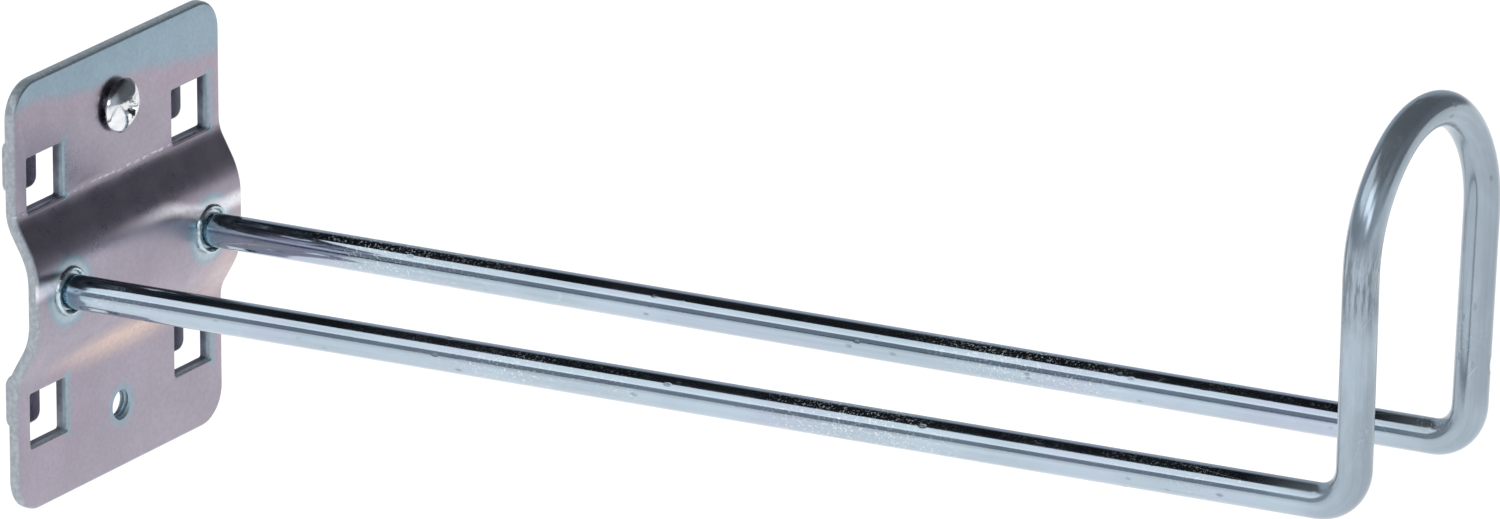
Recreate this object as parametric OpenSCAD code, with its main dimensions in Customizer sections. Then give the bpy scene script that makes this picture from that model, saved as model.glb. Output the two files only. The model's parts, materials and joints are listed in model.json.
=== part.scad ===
// Hook for a square-hole tool panel: a ribbed steel plate with four hanging tabs,
// a bent wire that makes two arms and an upturned loop, and a clamp screw.
// Frame: X across the plate, Y from the loop (-Y) to the panel (+Y), Z up.
// The origin is the centre of the plate's outline on its back face.

/* [Plate] */
// Width of the plate
plate_w = 54; // [50:0.5:80]
// Height of the plate
plate_h = 69.2; // [64:0.2:100]
// Thickness of the sheet
sheet_t = 2; // [1.5:0.1:2.5]
// Radius of the plate's corners
plate_corner_r = 5.5; // [2:0.1:8]

/* [Stiffening rib] */
// How far the rib stands out of the sheet
rib_rise = 4; // [3:0.1:6]
// Height of the rib's flat top
rib_flat_h = 6; // [6:0.1:10]
// Inside radius of the bend at the rib's top
rib_top_r = 10; // [6:0.5:10]
// Radius of the bend at the rib's foot, on the back face
rib_foot_r = 8; // [4:0.5:8]
// Slope of the rib's sides from the plate
rib_slope = 30; // [25:1:32]

/* [Hanging tabs] */
// Distance between hole centres in the tool panel
hole_pitch = 38; // [36:0.5:40]
// Height of the middle of the four windows above the plate's centre
pattern_z = -0.9; // [-2:0.1:2]
// Width of each window
window_w = 9.4; // [8.5:0.1:10]
// Height of each window, up to the underside of its tab
window_h = 8.6; // [8:0.1:10]
// Width of each tab
tab_w = 6.7; // [5:0.1:7.5]
// Gap behind the plate for the panel's sheet
panel_gap = 1.9; // [1.2:0.1:3]
// Height of a tab's tip above the bottom of its window
tab_tip_rise = 1.5; // [0.5:0.1:3]
// Radius of a tab's lower corners
tab_corner_r = 1.6; // [0.5:0.1:2]
// Inside radius of the tab's bend
tab_bend_r = 0.3; // [0.2:0.1:0.6]

/* [Screw holes] */
// Height of the screw's hole, and depth of the open hole, from the plate's centre
screw_hole_z = 24.35; // [22:0.05:28]
// Outside diameter of the screw thread
thread_d = 5; // [4:0.5:6]
// Pitch of the screw thread
thread_pitch = 0.8; // [0.7:0.1:1]
// Radial clearance between the screw and its hole
screw_clearance = 0.05; // [0.02:0.01:0.1]

/* [Clamp screw] */
// Diameter of the screw's head
head_d = 8.6; // [7.5:0.1:10]
// Height of the domed head
head_h = 2.2; // [1.6:0.1:3]
// Height of the head's straight rim
head_rim_h = 0.5; // [0.2:0.1:0.8]
// Gap between the head and the plate
head_gap = 0.75; // [0.2:0.05:2]
// Length of the screw under its head
shank_len = 4; // [3.5:0.5:8]
// Width across the wings of the cross recess
recess_w = 4.4; // [3:0.1:5]
// Width of one wing of the cross recess
recess_wing = 1.1; // [0.8:0.1:1.4]
// Depth of the cross recess
recess_depth = 1.5; // [1:0.1:1.6]

/* [Hook wire] */
// Diameter of the wire
wire_d = 5.4; // [4:0.1:6]
// Distance between the arms where they are welded to the rib
root_spacing = 37; // [30:0.5:40]
// Distance between the arms at their outer ends
corner_spacing = 32.2; // [28:0.1:38]
// Distance of the outer bends' corners from the plate's back face
arm_reach = 232.5; // [150:0.5:300]
// Rise of the arms above level
arm_rise = 2.9; // [0:0.1:6]
// Height of the middle between the welded ends
root_z = 0; // [-1:0.1:1]
// How much higher the left end is welded than the right one
root_skew = 1; // [0:0.1:1.5]
// Radius of the bends between arms and loop, at the wire's centre
corner_bend_r = 6.5; // [5:0.5:12]
// Lean of the loop away from the plate
loop_lean = 2; // [0:0.1:5]

/* [Loop] */
// Height of the loop's top above the plate's centre, at the wire's centre
loop_top_z = 67.6; // [60:0.1:90]
// Distance between the corners of the loop's shoulders
shoulder_spacing = 34.1; // [32:0.1:38]
// Slope of the shoulders from upright
shoulder_slope = 52; // [48:1:56]
// Radius of the loop's top bend, at the wire's centre
loop_top_r = 14; // [12:0.5:15]

/* [Weld collars] */
// Width of the collar around the wire
collar_w = 1.2; // [0.8:0.1:2]
// Height of the collar along the wire
collar_h = 1.2; // [1:0.1:2.5]

/* [Hidden] */
// Facets of a full circle, steps in a drawn bend, and sides of the swept wire
$fn = 64;
bend_steps = 9;
wire_sides = 24;
// Length by which a cut runs past a face, and a union reaches into its neighbour
past = 1;

plate_top = plate_h / 2;
rib_half = rib_flat_h / 2;
// Straight part of a rib's side, between the two bends
rib_bends_y = (rib_top_r + rib_foot_r) * (1 - cos(rib_slope));
rib_straight_z = (rib_rise - rib_bends_y) / tan(rib_slope);
rib_foot_z = rib_half + (rib_top_r + rib_foot_r) * sin(rib_slope) + rib_straight_z;
rib_front_y = -rib_rise - sheet_t;

tab_outer_r = tab_bend_r + sheet_t;
window_rise = hole_pitch / 2;
shank_r = thread_d / 2;
// Wall of a tapped hole: the crests of its thread, as tap drills leave it
tapped_r = (thread_d - thread_pitch) / 2;
head_y = -sheet_t - head_gap;
// The dome's radius, from its rise over half the head's width
dome_rise = head_h - head_rim_h;
dome_r = (pow(head_d / 2, 2) + pow(dome_rise, 2)) / (2 * dome_rise);

wire_r = wire_d / 2;
arm_run = arm_reach + rib_front_y;
corner_z = root_z + arm_run * tan(arm_rise);
// The shoulder corners lie below the loop's top by the slope's height, less what the top bend cuts off
shoulder_drop = shoulder_spacing / 2 / tan(shoulder_slope)
    - loop_top_r / sin(shoulder_slope) + loop_top_r;
shoulder_z = loop_top_z - shoulder_drop;
top_corner_z = shoulder_z + shoulder_spacing / 2 / tan(shoulder_slope);
// Turn at a shoulder, and the bend radius that fills the slope beside the top bend
shoulder_turn = shoulder_slope
    + atan((shoulder_spacing - corner_spacing) / 2 / (shoulder_z - corner_z));
shoulder_r = (shoulder_spacing / 2 / sin(shoulder_slope) - loop_top_r / tan(shoulder_slope))
    / tan(shoulder_turn / 2);

// Points along an arc in the profile plane: [y, z]
function arc(cy, cz, r, from, to) =
    [for (i = [0 : bend_steps]) let (a = from + (to - from) * i / bend_steps)
        [cy + r * cos(a), cz + r * sin(a)]];

// One side of the rib's outline, from the plate's edge to the rib's top; extra is 0 on the back
// face and the sheet's thickness on the front, and side is 1 above the rib and -1 below it
function rib_side(extra, side) = concat(
    [[-extra, side * plate_top]],
    [for (p = arc(-rib_foot_r, rib_foot_z, rib_foot_r - extra, 0, -rib_slope)) [p.x, side * p.y]],
    [for (p = arc(rib_top_r - rib_rise, rib_half, rib_top_r + extra, 180 - rib_slope, 180))
        [p.x, side * p.y]]);

function reversed(list) = [for (i = [len(list) - 1 : -1 : 0]) list[i]];

// A point of the loop's plane, which leans out from the arms' outer ends
function loop_point(x, z) = [x, -arm_reach - (z - corner_z) * tan(loop_lean), z];

// The wire's corners, from the left arm's welded end round to the right arm's
wire_corners = [
    [-root_spacing / 2, rib_front_y, root_z + root_skew / 2],
    loop_point(-corner_spacing / 2, corner_z),
    loop_point(-shoulder_spacing / 2, shoulder_z),
    loop_point(0, top_corner_z),
    loop_point(shoulder_spacing / 2, shoulder_z),
    loop_point(corner_spacing / 2, corner_z),
    [root_spacing / 2, rib_front_y, root_z - root_skew / 2]
];
wire_bends = [0, corner_bend_r, shoulder_r, loop_top_r, shoulder_r, corner_bend_r, 0];
last_corner = len(wire_corners) - 1;

function unit(v) = v / norm(v);
function heading(i) = unit(wire_corners[i + 1] - wire_corners[i]);
function turn(i) = acos(heading(i - 1) * heading(i));
function turn_axis(i) = unit(cross(heading(i - 1), heading(i)));
// A vector turned about an axis through the origin
function turned(v, axis, a) = v * cos(a) + cross(axis, v) * sin(a) + axis * (axis * v) * (1 - cos(a));

// A direction square to each straight, carried from one straight to the next round the bend
function square_to(i) = i == 0 ? unit(cross([1, 0, 0], heading(0)))
    : turned(square_to(i - 1), turn_axis(i), turn(i));

// One ring of the wire's skin around a centre
function ring(centre, direction, square) = let (other = cross(direction, square))
    [for (j = [0 : wire_sides - 1]) let (a = 360 * j / wire_sides)
        centre + wire_r * (square * cos(a) + other * sin(a))];

// A welded end's ring, slanted to lie flat on the rib
function flush_ring(i, direction, square) =
    [for (p = ring(wire_corners[i], direction, square))
        p - direction * ((p.y - rib_front_y) / direction.y)];

// The rings through the bend at corner i
function bend_rings(i) =
    let (inward = unit(heading(i) - heading(i - 1)),
        centre = wire_corners[i] + inward * (wire_bends[i] / cos(turn(i) / 2)),
        start = wire_corners[i] - heading(i - 1) * (wire_bends[i] * tan(turn(i) / 2)))
    [for (k = [0 : bend_steps]) let (a = turn(i) * k / bend_steps)
        ring(centre + turned(start - centre, turn_axis(i), a),
            turned(heading(i - 1), turn_axis(i), a), turned(square_to(i - 1), turn_axis(i), a))];

// Puts a shape drawn along Z at a point, with its axes given
module place(at, x_axis, y_axis, z_axis) {
    multmatrix([
        [x_axis.x, y_axis.x, z_axis.x, at.x],
        [x_axis.y, y_axis.y, z_axis.y, at.y],
        [x_axis.z, y_axis.z, z_axis.z, at.z]]) children();
}

// Puts a shape drawn along Z at a point, along a direction that isn't the X axis
module along(at, direction) {
    side = unit(cross([1, 0, 0], direction));
    place(at, cross(side, direction), side, direction) children();
}

module round_rect(w, h, r) {
    square([w - 2 * r, h], center = true);
    square([w, h - 2 * r], center = true);
    for (x = [-1, 1], y = [-1, 1]) translate([x * (w / 2 - r), y * (h / 2 - r)]) circle(r);
}

// A flat shape drawn in X and Z, run through from one Y to another
module through(from_y, to_y) {
    translate([0, to_y, 0]) rotate([90, 0, 0]) linear_extrude(to_y - from_y) children();
}

// A profile drawn in Y and Z, run across X
module across(w) {
    rotate([90, 0, 90]) translate([0, 0, -w / 2]) linear_extrude(w) children();
}

module ribbed_sheet() {
    intersection() {
        across(plate_w + 2 * past) polygon(concat(
            rib_side(sheet_t, 1), reversed(rib_side(sheet_t, -1)),
            rib_side(0, -1), reversed(rib_side(0, 1))));
        through(rib_front_y - past, past) round_rect(plate_w, plate_h, plate_corner_r);
    }
}

// Opening for one tab; its origin is the window's centre
module window() {
    through(rib_front_y - past, past) square([window_w, window_h], center = true);
}

// One tab: it leaves the plate's back just above the window, passes over the panel's edge
// and hangs down
module tab() {
    under = window_h / 2;
    over = under + sheet_t;
    front = panel_gap;
    bend_y = front - tab_bend_r;
    bend_z = under - tab_bend_r;
    tip = -under + tab_tip_rise;
    intersection() {
        across(tab_w) polygon(concat(
            [[-sheet_t / 2, over]],
            arc(bend_y, bend_z, tab_outer_r, 90, 0),
            [[front + sheet_t, tip], [front, tip]],
            arc(bend_y, bend_z, tab_bend_r, 0, 90),
            [[-sheet_t / 2, under]]));
        // Rounds the two lower corners
        round_h = over - tip + 4 * past;
        through(-sheet_t, front + sheet_t + past)
            translate([0, tip + round_h / 2]) round_rect(tab_w, round_h, tab_corner_r);
    }
}

module at_windows() {
    for (x = [-1, 1], z = [-1, 1])
        translate([x * hole_pitch / 2, 0, pattern_z + z * window_rise]) children();
}

module back_plate() {
    color("silver") {
        difference() {
            ribbed_sheet();
            at_windows() window();
            through(-sheet_t - past, past) translate([0, screw_hole_z])
                circle(shank_r + screw_clearance);
            through(-sheet_t - past, past) translate([0, -screw_hole_z]) circle(tapped_r);
        }
        at_windows() tab();
    }
}

// Cuts a shape flush with the rib's flat top
module in_front_of_rib() {
    depth = 2 * past + wire_d;
    difference() {
        children();
        translate([-plate_w, rib_front_y, -plate_h / 2]) cube([2 * plate_w, depth, plate_h]);
    }
}

module hook_wire() {
    rings = concat(
        [flush_ring(0, heading(0), square_to(0))],
        [for (i = [1 : last_corner - 1]) each bend_rings(i)],
        [flush_ring(last_corner, heading(last_corner - 1), square_to(last_corner - 1))]);
    last_ring = (len(rings) - 1) * wire_sides;
    color("lightsteelblue") polyhedron(
        points = [for (r = rings) each r],
        faces = concat(
            [[for (j = [0 : wire_sides - 1]) j]],
            [for (k = [0 : len(rings) - 2], j = [0 : wire_sides - 1])
                let (a = k * wire_sides + j, b = k * wire_sides + (j + 1) % wire_sides)
                [a, a + wire_sides, b + wire_sides, b]],
            [[for (j = [wire_sides - 1 : -1 : 0]) last_ring + j]]));
}

// A bead with a rounded section, drawn around the Z axis
module bead() {
    rotate_extrude() polygon(concat(
        [[wire_r, -past], [wire_r + collar_w, -past]],
        [for (i = [0 : bend_steps]) let (a = 90 * i / bend_steps)
            [wire_r + collar_w * cos(a), collar_h * sin(a)]]));
}

module left_weld_collar() {
    color("gainsboro") in_front_of_rib() along(wire_corners[0], heading(0)) bead();
}

module right_weld_collar() {
    color("gainsboro") in_front_of_rib()
        along(wire_corners[last_corner], -heading(last_corner - 1)) bead();
}

// Head and shank drawn along Z: the head's underside at 0, the shank below it
module screw_body() {
    difference() {
        union() {
            translate([0, 0, -shank_len]) cylinder(h = shank_len, r = shank_r);
            cylinder(h = head_rim_h, r = head_d / 2);
            intersection() {
                translate([0, 0, head_h - dome_r]) sphere(dome_r);
                translate([0, 0, head_rim_h]) cylinder(h = dome_rise + past, r = head_d / 2);
            }
        }
        for (a = [0, 90]) rotate([0, 0, a])
            translate([-recess_w / 2, -recess_wing / 2, head_h - recess_depth])
                cube([recess_w, recess_wing, recess_depth + past]);
    }
}

module clamp_screw() {
    color("whitesmoke") translate([0, head_y, screw_hole_z]) rotate([90, 0, 0]) screw_body();
}

back_plate();
hook_wire();
left_weld_collar();
right_weld_collar();
clamp_screw();
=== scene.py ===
import json
import math

import bpy
from mathutils import Matrix, Quaternion, Vector


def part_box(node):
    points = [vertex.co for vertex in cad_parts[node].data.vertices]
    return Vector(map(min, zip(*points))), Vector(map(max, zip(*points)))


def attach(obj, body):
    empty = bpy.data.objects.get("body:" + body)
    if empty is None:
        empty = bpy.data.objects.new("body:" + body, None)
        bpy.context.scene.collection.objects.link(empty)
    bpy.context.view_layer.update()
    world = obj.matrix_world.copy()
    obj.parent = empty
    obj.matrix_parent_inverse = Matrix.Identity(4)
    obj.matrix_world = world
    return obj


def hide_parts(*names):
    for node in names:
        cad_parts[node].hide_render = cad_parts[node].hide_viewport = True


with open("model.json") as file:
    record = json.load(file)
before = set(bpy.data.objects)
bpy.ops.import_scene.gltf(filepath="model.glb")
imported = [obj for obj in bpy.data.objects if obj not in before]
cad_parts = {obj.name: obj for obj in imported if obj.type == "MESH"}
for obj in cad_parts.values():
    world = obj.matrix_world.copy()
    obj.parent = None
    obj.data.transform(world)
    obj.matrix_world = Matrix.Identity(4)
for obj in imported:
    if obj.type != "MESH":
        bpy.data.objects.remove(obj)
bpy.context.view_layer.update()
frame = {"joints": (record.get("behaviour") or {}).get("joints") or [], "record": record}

# Looks of a steel hook for a square-hole tool panel. X runs across the plate, Y from the loop
# (-Y) to the panel (+Y), Z up; the origin is the middle of the plate's back face. All in metres.

bl_info = {
    "name": "Tool panel hook",
    "version": (1, 0, 0),
    "blender": (4, 5, 0),
    "location": "3D View > Sidebar > Hook",
    "description": "Models a zinc plated tool panel hook around its packed frame",
    "category": "Object",
}

PLATE_LOW, PLATE_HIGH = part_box("back_plate")
_, WIRE_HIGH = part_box("hook_wire")
SCREW_LOW, SCREW_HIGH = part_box("clamp_screw")
MOUNTS = {mount["name"]: mount for mount in frame["record"]["mounts"]}
SCREW_AXIS = Vector(frame["joints"][0]["pos_m"])
TAPPED_HOLE = Vector(MOUNTS["lower_tapped_hole"]["pos_m"])
TAPPED_RADIUS = MOUNTS["lower_tapped_hole"]["dims"]["r_mm"] / 1000
CLOSE = 0.00002
MERGE = 0.000001

X_AXIS = Vector((1, 0, 0))
Y_AXIS = Vector((0, 1, 0))


def length(name, default, description):
    return bpy.props.FloatProperty(name=name, description=description, default=default,
                                   min=0.0, subtype="DISTANCE", unit="LENGTH", precision=5)


def colour(name, default, description):
    return bpy.props.FloatVectorProperty(name=name, description=description, default=default,
                                         size=3, min=0.0, max=1.0, subtype="COLOR")


def amount(name, default, description):
    return bpy.props.FloatProperty(name=name, description=description, default=default,
                                   min=0.0, max=1.0, subtype="FACTOR")


def angle(name, degrees, description):
    return bpy.props.FloatProperty(name=name, description=description, subtype="ANGLE",
                                   default=math.radians(degrees), unit="ROTATION")


def brightness(name, default, description):
    return bpy.props.FloatProperty(name=name, description=description, default=default,
                                   min=0.0, max=10.0, subtype="FACTOR")


class HookPlateSettings(bpy.types.PropertyGroup):
    sheet: length("Sheet", 0.002, "Thickness of the sheet")
    corner_radius: length("Corner radius", 0.0055, "Radius of the plate's corners")
    rib_flat: length("Rib flat", 0.006, "Height of the rib's flat top")
    rib_top_radius: length("Rib top radius", 0.010, "Inside radius of the bend at the rib's top")
    rib_foot_radius: length("Rib foot radius", 0.008, "Back radius of the bend at the rib's foot")
    rib_slope: angle("Rib slope", 30, "Slope of the rib's sides from the plate")
    hole_pitch: length("Hole pitch", 0.038, "Distance between hole centres in the tool panel")
    pattern_height: bpy.props.FloatProperty(
        name="Pattern height", description="Height of the middle of the four windows",
        default=-0.0009, subtype="DISTANCE", unit="LENGTH", precision=5)
    window_width: length("Window width", 0.0094, "Width of each window")
    window_height: length("Window height", 0.0086, "Height of each window")
    tab_width: length("Tab width", 0.0067, "Width of each tab")
    tab_rise: length("Tab tip rise", 0.0015, "Height of a tab's tip above its window's bottom")
    tab_corner: length("Tab corner", 0.0016, "Radius of a tab's lower corners")
    tab_bend: length("Tab bend", 0.0003, "Inside radius of a tab's bend")
    edge_round: length("Edge round", 0.0006, "Rounding of the sheet's cut edges")
    window_round: length("Window round", 0.0004, "Rolled-over edge around each window")
    base: colour("Zinc", (0.362, 0.333, 0.402), "Colour of the plate's plating")
    blue: colour("Blue tint", (0.255, 0.385, 0.46), "Blue tint at the plate's top, holes and welds")
    amber: colour("Amber tint", (0.74, 0.56, 0.47), "Warm tint under the rib")
    rose: colour("Rose tint", (0.41, 0.325, 0.40), "Rose tint in the plate's plating")
    rim: colour("Rim", (0.50, 0.58, 0.63), "Pale plating on cut edges and around the welds")
    # Painted shade colour inside the windows and on the tabs
    window_shade: colour("Navy", (0.075, 0.085, 0.13), "Dark blue inside the windows and on the tabs")
    roughness: amount("Roughness", 0.30, "Roughness of the plate's plating")


class HookWireSettings(bpy.types.PropertyGroup):
    diameter: length("Wire", 0.0054, "Diameter of the wire")
    root_spacing: length("Root spacing", 0.037, "Distance between the arms' welded ends")
    root_skew: length("Root skew", 0.001, "How much higher the left end is welded")
    corner_spacing: length("Corner spacing", 0.0322, "Distance between the arms' outer ends")
    reach: length("Reach", 0.2325, "Distance of the outer corners from the plate's back")
    rise: angle("Rise", 2.9, "Rise of the arms above level")
    corner_bend: length("Corner bend", 0.0065, "Radius of the bends between arms and loop")
    lean: angle("Lean", 2, "Lean of the loop away from the plate")
    shoulder_spacing: length("Shoulder spacing", 0.0341, "Distance between the loop's shoulders")
    shoulder_slope: angle("Shoulder slope", 52, "Slope of the loop's shoulders from upright")
    top_bend: length("Top bend", 0.014, "Radius of the loop's top bend")
    base: colour("Zinc", (0.395, 0.48, 0.55), "Colour of the wire's plating")
    loop: colour("Loop", (0.31, 0.375, 0.435), "Greyer plating of the handled loop")
    root: colour("Root", (0.28, 0.42, 0.50), "Heat tint next to the welds")
    roughness: amount("Roughness", 0.10, "Roughness of the arms' plating")
    loop_roughness: amount("Loop roughness", 0.20, "Roughness of the loop's plating")


class HookWeldSettings(bpy.types.PropertyGroup):
    width: length("Width", 0.0012, "Width of a weld collar around the wire")
    height: length("Height", 0.0012, "Height of a weld collar along the wire")
    base: colour("Zinc", (0.52, 0.62, 0.66), "Colour of the plated weld metal")
    roughness: amount("Roughness", 0.24, "Roughness of the weld metal")


class HookScrewSettings(bpy.types.PropertyGroup):
    thread: length("Thread", 0.005, "Outside diameter of the thread")
    pitch: length("Pitch", 0.0008, "Pitch of the thread")
    rim: length("Rim", 0.0005, "Height of the head's straight rim")
    head: length("Head height", 0.0022, "Height of the domed head")
    recess: length("Recess", 0.0044, "Width across the wings of the cross recess")
    wing: length("Wing", 0.0011, "Width of one wing of the recess")
    recess_depth: length("Recess depth", 0.0015, "Depth of the cross recess")
    base: colour("Zinc", (0.78, 0.80, 0.82), "Colour of the screw's plating")
    roughness: amount("Roughness", 0.12, "Roughness of the screw's plating")


class HookStageSettings(bpy.types.PropertyGroup):
    floor: colour("Floor", (0.93, 0.93, 0.93), "Colour of the plain floor")
    floor_drop: length("Floor drop", 0.60, "Distance of the floor below the plate's bottom")
    dome: brightness("Dome", 1.12, "Strength of the soft light all round")
    softbox: brightness("Softbox", 1.35, "Brightness of the left softbox")
    ceiling: amount("Ceiling", 0.012, "Brightness of the studio's dark ceiling in reflections")
    front_softbox: brightness("Front softbox", 2.4, "Brightness of the front and side softboxes")
    wall_tint: colour("Wall tint", (0.80, 0.88, 1.0), "Colour of the walls in reflections")
    left_wall: amount("Left wall", 0.36, "Brightness of the left wall in reflections")
    front_wall: amount("Front wall", 0.115, "Brightness of the front wall in reflections")
    right_wall: amount("Right wall", 0.55, "Brightness of the right wall in reflections")


# Modelling helpers -------------------------------------------------------------------------

def nothing_selected():
    """Leaves edit mode and deselects everything."""
    if bpy.context.object and bpy.context.object.mode != "OBJECT":
        bpy.ops.object.mode_set(mode="OBJECT")
    bpy.ops.object.select_all(action="DESELECT")


def added(operator, name, **where):
    """Adds a primitive on its own and names it."""
    nothing_selected()
    operator(**where)
    piece = bpy.context.object
    piece.name = name
    piece.data.name = name
    return piece


def only(piece):
    """Makes a piece the one selected, active object, in object mode."""
    nothing_selected()
    piece.select_set(True)
    bpy.context.view_layer.objects.active = piece


def fixed(piece):
    """Puts a piece's place, turn and size into its mesh."""
    only(piece)
    bpy.ops.object.transform_apply(location=True, rotation=True, scale=True)


def pick(piece, kind, test):
    """Selects the vertices, edges or faces that pass a test, and stays in edit mode."""
    only(piece)
    bpy.ops.object.mode_set(mode="EDIT")
    bpy.ops.mesh.select_mode(type=kind)
    bpy.ops.mesh.select_all(action="DESELECT")
    bpy.ops.object.mode_set(mode="OBJECT")
    mesh = piece.data
    items = {"VERT": mesh.vertices, "EDGE": mesh.edges, "FACE": mesh.polygons}[kind]
    for item in items:
        item.select = test(item)
    bpy.ops.object.mode_set(mode="EDIT")


def picked_all(piece):
    """Selects every vertex, and stays in edit mode."""
    only(piece)
    bpy.ops.object.mode_set(mode="EDIT")
    bpy.ops.mesh.select_mode(type="VERT")
    bpy.ops.mesh.select_all(action="SELECT")


def done_editing():
    bpy.ops.object.mode_set(mode="OBJECT")


def finished(piece, kind, **values):
    """Adds a modifier, sets it and applies it."""
    only(piece)
    modifier = piece.modifiers.new("shape", kind)
    for key, value in values.items():
        setattr(modifier, key, value)
    bpy.ops.object.modifier_apply(modifier=modifier.name)


def thickened(piece, thickness, front, back):
    """Gives a sheet its thickness, on the side that makes it reach from front to back."""
    thin = piece.data.copy()
    for side in (1.0, -1.0):
        finished(piece, "SOLIDIFY", thickness=thickness, offset=side, use_even_offset=True)
        depths = [vertex.co.y for vertex in piece.data.vertices]
        if abs(min(depths) - front) < CLOSE and abs(max(depths) - back) < CLOSE:
            return
        piece.data = thin.copy()
    raise RuntimeError(f"{piece.name} doesn't reach from {front} to {back} on either side")


def cut_with(piece, tool, operation="DIFFERENCE"):
    """Joins, cuts or trims a piece with a tool, which is used up."""
    finished(piece, "BOOLEAN", operation=operation, solver="EXACT", object=tool)
    bpy.data.objects.remove(tool, do_unlink=True)


def copied(piece, offset):
    """A copy with its own mesh, moved by an offset."""
    twin = piece.copy()
    twin.data = piece.data.copy()
    bpy.context.collection.objects.link(twin)
    twin.data.transform(Matrix.Translation(offset))
    return twin


def pick_open_edges(piece):
    """Selects the edges with a face on one side only, and stays in edit mode."""
    pick(piece, "EDGE", lambda e: False)
    bpy.ops.mesh.select_non_manifold(extend=False, use_wire=False, use_boundary=True,
                                     use_multi_face=False, use_non_contiguous=False,
                                     use_verts=False)


def ends_closed(piece):
    """Fills each open end with one face."""
    pick_open_edges(piece)
    bpy.ops.mesh.edge_face_add()
    done_editing()
    faces_outward(piece)


def faces_outward(piece):
    """Merges doubles and turns every face outwards."""
    picked_all(piece)
    bpy.ops.mesh.remove_doubles(threshold=MERGE)
    bpy.ops.mesh.normals_make_consistent(inside=False)
    done_editing()


def smoothed(piece, angle=35):
    """Shades smooth across edges that turn less than an angle in degrees."""
    only(piece)
    bpy.ops.object.shade_smooth_by_angle(angle=math.radians(angle))


def pushed(offset):
    """Extrudes the selection and moves it."""
    bpy.ops.mesh.extrude_region_move(TRANSFORM_OT_translate={"value": tuple(offset)})


def swept(angle, centre, axis, steps):
    """Spins the selection round an axis by the right-hand rule, which the operator turns against."""
    bpy.ops.mesh.spin(steps=steps, angle=-angle, center=tuple(centre), axis=tuple(axis))


def stacked_rings(name, rings, vertices):
    """A turned shape along Z: a circle, extruded and scaled from ring to ring of (radius, height)."""
    piece = added(bpy.ops.mesh.primitive_circle_add, name, vertices=vertices,
                  radius=rings[0][0], location=(0, 0, rings[0][1]))
    fixed(piece)
    picked_all(piece)
    for (radius, height), (next_radius, next_height) in zip(rings, rings[1:]):
        pushed((0, 0, next_height - height))
        scale = next_radius / radius
        bpy.ops.transform.resize(value=(scale, scale, 1), center_override=(0, 0, next_height))
    done_editing()
    return piece


def cut_at_rib(piece, fill):
    """Cuts off what lies behind the rib's front, and stays in edit mode."""
    picked_all(piece)
    bpy.ops.mesh.bisect(plane_co=(0, PLATE_LOW.y, 0), plane_no=(0, 1, 0), use_fill=fill,
                        clear_outer=True)


def stood_along(piece, at, direction):
    """Turns a piece drawn along Z to a direction and puts its origin at a place."""
    turn = direction.to_track_quat("Z", "Y")
    piece.data.transform(Matrix.Translation(at) @ turn.to_matrix().to_4x4())


def settled(piece, body, node, material):
    """Hands a finished piece over to its body, in place of its CAD node."""
    piece.data.materials.clear()
    piece.data.materials.append(material)
    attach(piece, body)
    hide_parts(node)


# Materials ---------------------------------------------------------------------------------

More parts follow.
